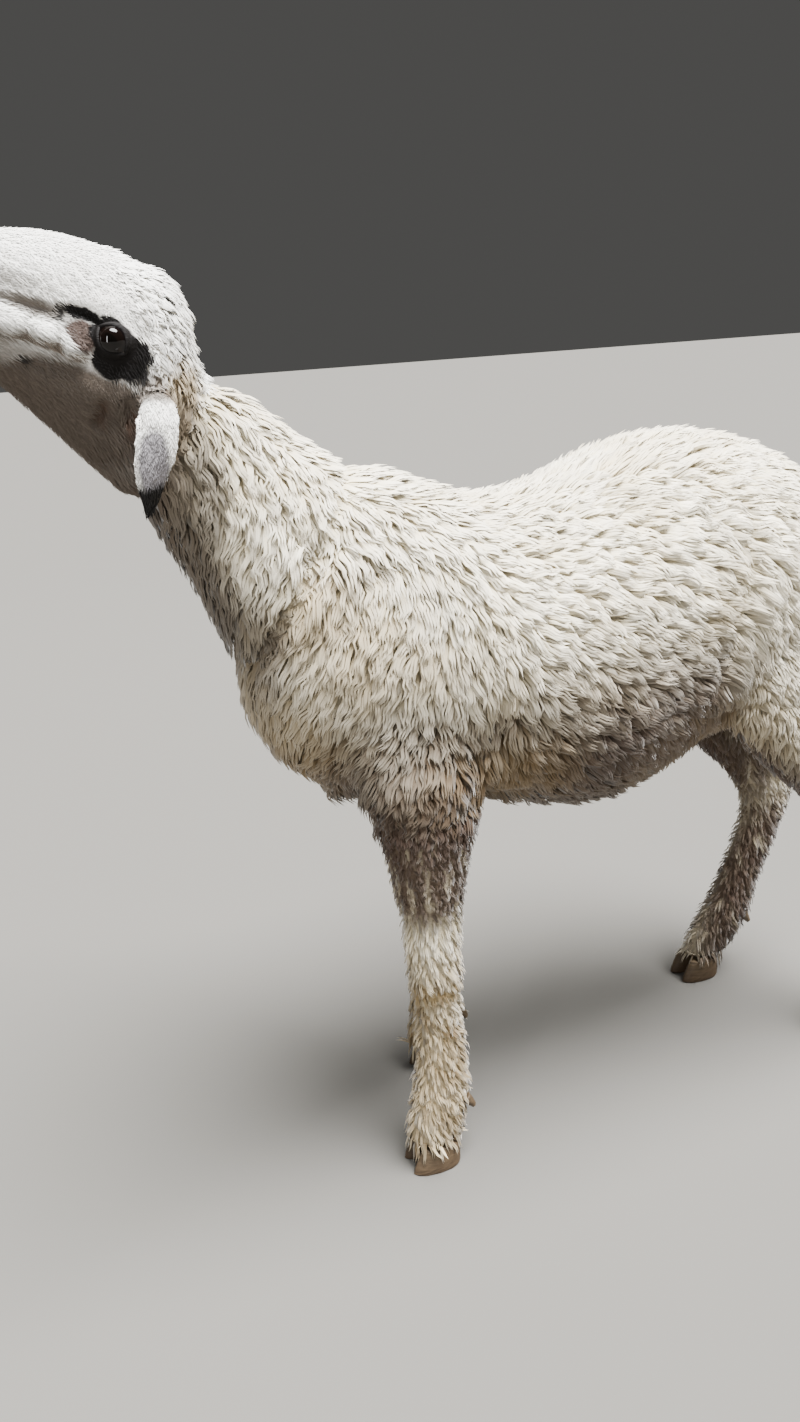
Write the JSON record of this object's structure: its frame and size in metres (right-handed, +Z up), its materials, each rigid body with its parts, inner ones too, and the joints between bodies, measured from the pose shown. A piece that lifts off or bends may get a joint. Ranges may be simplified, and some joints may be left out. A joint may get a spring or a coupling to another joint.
{
  "type": "sheep",
  "caption": "Life-size still model of a young white woolly sheep with drooping ears, standing on its four feet with its head raised and nose up.",
  "frame": {"origin": "on the floor, under the middle of the sheep's bounding box", "axes": "+Z up from the soles, -X towards the nose, -Y towards the sheep's left side"},
  "size_m": [0.9058, 0.2546, 0.8541],
  "materials": {
    "wool": "cream wool in soft wavy locks",
    "face": "short white hair, black round the eyes and on the ear tips",
    "horn": "dull brown hoof horn",
    "eye": "wet glossy dark eye"
  },
  "bodies": {
    "root": {"trunk": "wool", "neck": "wool", "tail": "wool", "head": "face", "ear_left": "face", "eye_left": "eye", "ear_right": "face", "eye_right": "eye", "upper_fore_leg_left": "wool", "lower_fore_leg_left": "wool", "claw_fore_left_inner": "horn", "dewclaw_fore_left_inner": "horn", "claw_fore_left_outer": "horn", "dewclaw_fore_left_outer": "horn", "upper_fore_leg_right": "wool", "lower_fore_leg_right": "wool", "claw_fore_right_inner": "horn", "dewclaw_fore_right_inner": "horn", "claw_fore_right_outer": "horn", "dewclaw_fore_right_outer": "horn", "upper_hind_leg_left": "wool", "lower_hind_leg_left": "wool", "claw_hind_left_inner": "horn", "dewclaw_hind_left_inner": "horn", "claw_hind_left_outer": "horn", "dewclaw_hind_left_outer": "horn", "upper_hind_leg_right": "wool", "lower_hind_leg_right": "wool", "claw_hind_right_inner": "horn", "dewclaw_hind_right_inner": "horn", "claw_hind_right_outer": "horn", "dewclaw_hind_right_outer": "horn"}
  },
  "joints": []
}
